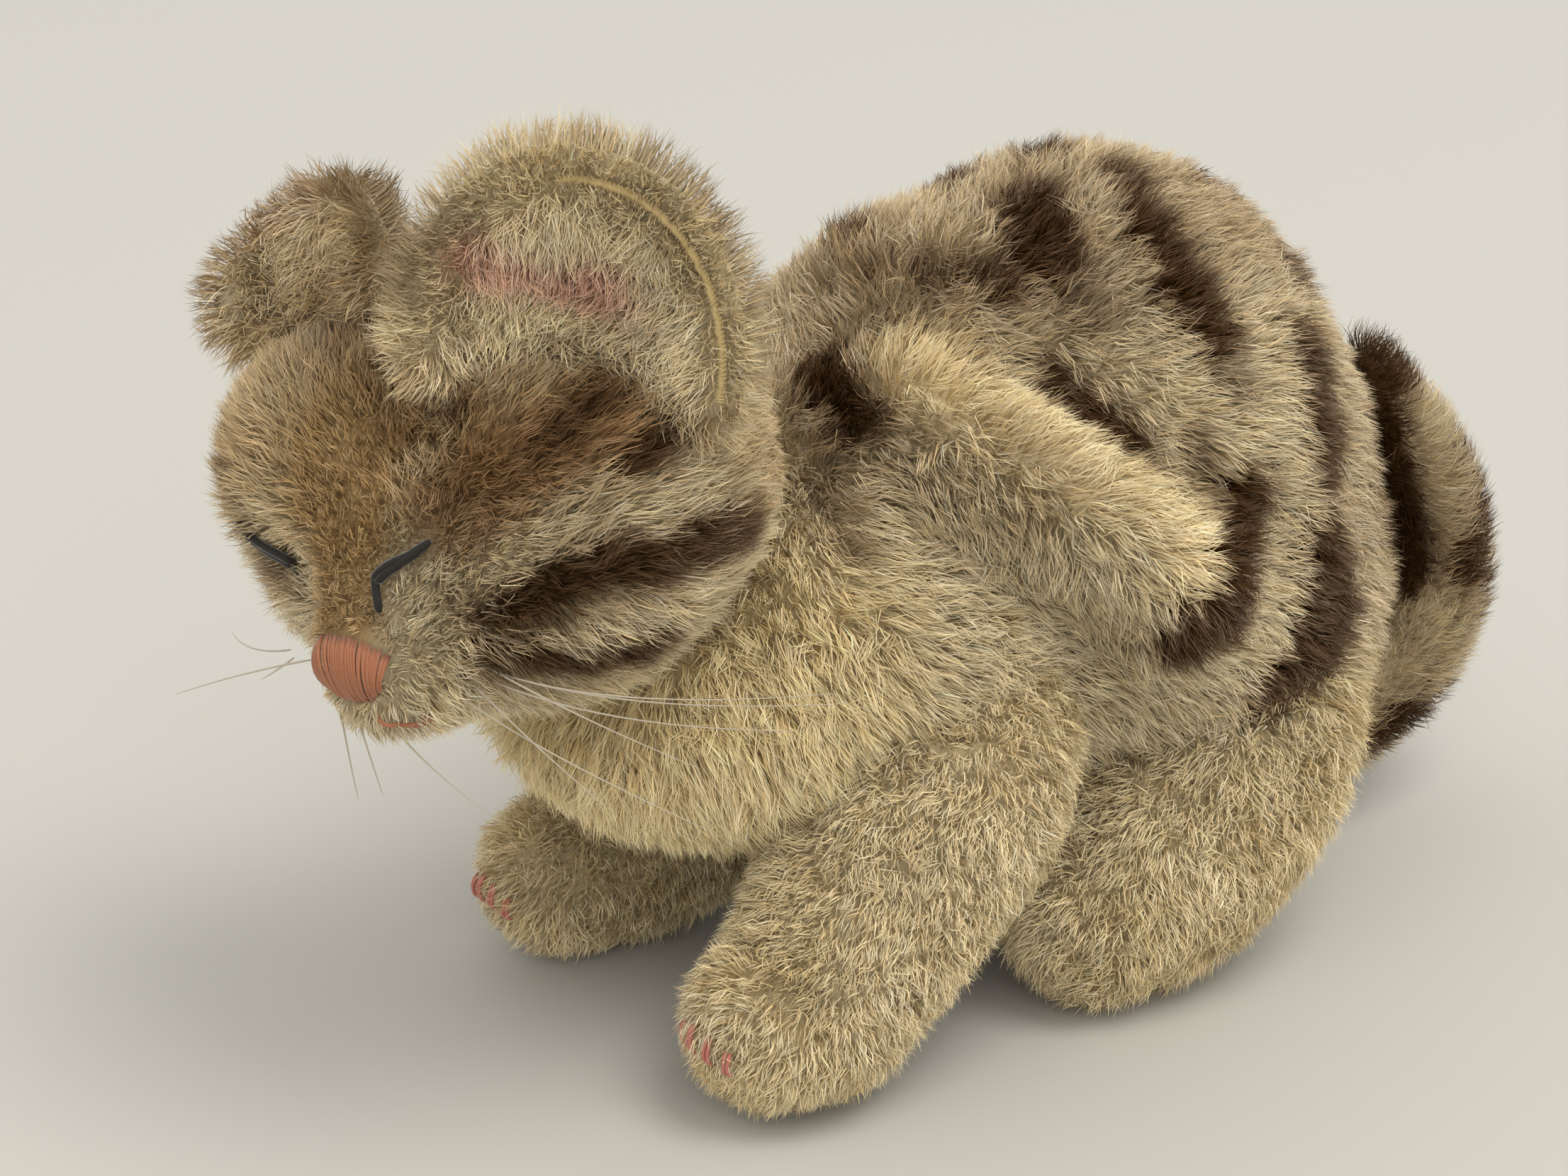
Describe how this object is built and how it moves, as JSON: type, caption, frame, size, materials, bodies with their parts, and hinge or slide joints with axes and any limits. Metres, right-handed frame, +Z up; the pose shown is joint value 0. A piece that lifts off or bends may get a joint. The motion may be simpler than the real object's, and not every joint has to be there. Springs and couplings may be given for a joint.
{
  "type": "plush cat",
  "caption": "Sleeping striped kitten soft toy in short mohair pile, crouching with lowered head, stitched face and stuffed limbs.",
  "frame": {"origin": "middle of the footprint, on the surface it stands on", "axes": "+Z up, -Y the way the kitten faces, +X its left side"},
  "size_m": [0.087, 0.1626, 0.1124],
  "materials": {
    "striped_mohair": "short pile, brown stripes on cream",
    "cream_mohair": "short cream pile",
    "ear_lining_mohair": "short cream pile with a pink tint",
    "stuffing_fibre": "loose fibre",
    "pink_floss": "satin thread",
    "black_thread": "satin thread",
    "whisker_filament": "clear filament"
  },
  "bodies": {
    "torso": {"torso_cover_left": "striped_mohair", "torso_cover_right": "striped_mohair", "belly_gusset": "cream_mohair", "torso_stuffing": "stuffing_fibre"},
    "head": {"head_cover_left": "striped_mohair", "head_cover_right": "striped_mohair", "head_gusset": "striped_mohair", "chin_gusset": "cream_mohair", "head_stuffing": "stuffing_fibre", "left_eye_stitching": "black_thread", "right_eye_stitching": "black_thread", "nose_stitching": "pink_floss", "mouth_stitching": "pink_floss", "left_whiskers": "whisker_filament", "right_whiskers": "whisker_filament"},
    "left_ear": {"left_ear_back": "striped_mohair", "left_ear_lining": "ear_lining_mohair"},
    "right_ear": {"right_ear_back": "striped_mohair", "right_ear_lining": "ear_lining_mohair"},
    "left_front_leg": {"left_front_leg_outer": "cream_mohair", "left_front_leg_inner": "cream_mohair", "left_front_leg_stuffing": "stuffing_fibre", "left_claw_stitching": "pink_floss"},
    "right_front_leg": {"right_front_leg_outer": "cream_mohair", "right_front_leg_inner": "cream_mohair", "right_front_leg_stuffing": "stuffing_fibre", "right_claw_stitching": "pink_floss"},
    "left_hind_leg": {"left_hind_leg_outer": "cream_mohair", "left_hind_leg_inner": "cream_mohair", "left_hind_leg_stuffing": "stuffing_fibre"},
    "right_hind_leg": {"right_hind_leg_outer": "cream_mohair", "right_hind_leg_inner": "cream_mohair", "right_hind_leg_stuffing": "stuffing_fibre"},
    "tail": {"tail_cover": "striped_mohair", "tail_stuffing": "stuffing_fibre"}
  },
  "joints": [
    {"name": "head_turn", "type": "hinge", "parent": "torso", "child": "head", "pos_m": [-0.0016, -0.05605, 0.0695], "axis": [0, 0, 1], "range_deg": [-15, 15]},
    {"name": "left_ear_fold", "type": "hinge", "parent": "head", "child": "left_ear", "pos_m": [0.0115, -0.05127, 0.08559], "axis": [0.6268, 0.7264, -0.2818], "range_deg": [-8, 8]},
    {"name": "right_ear_fold", "type": "hinge", "parent": "head", "child": "right_ear", "pos_m": [-0.01656, -0.05949, 0.08086], "axis": [0.7337, 0.2195, 0.643], "range_deg": [-8, 8]},
    {"name": "left_front_leg_swing", "type": "hinge", "parent": "torso", "child": "left_front_leg", "pos_m": [0.0149, -0.01155, 0.038], "axis": [1, 0, 0], "range_deg": [-12, 4]},
    {"name": "right_front_leg_swing", "type": "hinge", "parent": "torso", "child": "right_front_leg", "pos_m": [-0.0211, -0.01155, 0.038], "axis": [1, 0, 0], "range_deg": [-12, 4]},
    {"name": "left_hind_leg_swing", "type": "hinge", "parent": "torso", "child": "left_hind_leg", "pos_m": [0.0174, 0.03345, 0.0305], "axis": [1, 0, 0], "range_deg": [-12, 4]},
    {"name": "right_hind_leg_swing", "type": "hinge", "parent": "torso", "child": "right_hind_leg", "pos_m": [-0.0236, 0.03345, 0.0305], "axis": [1, 0, 0], "range_deg": [-12, 4]},
    {"name": "tail_wag", "type": "hinge", "parent": "torso", "child": "tail", "pos_m": [-0.0001, 0.05345, 0.014], "axis": [0, 0, 1], "range_deg": [-12, 12]}
  ]
}
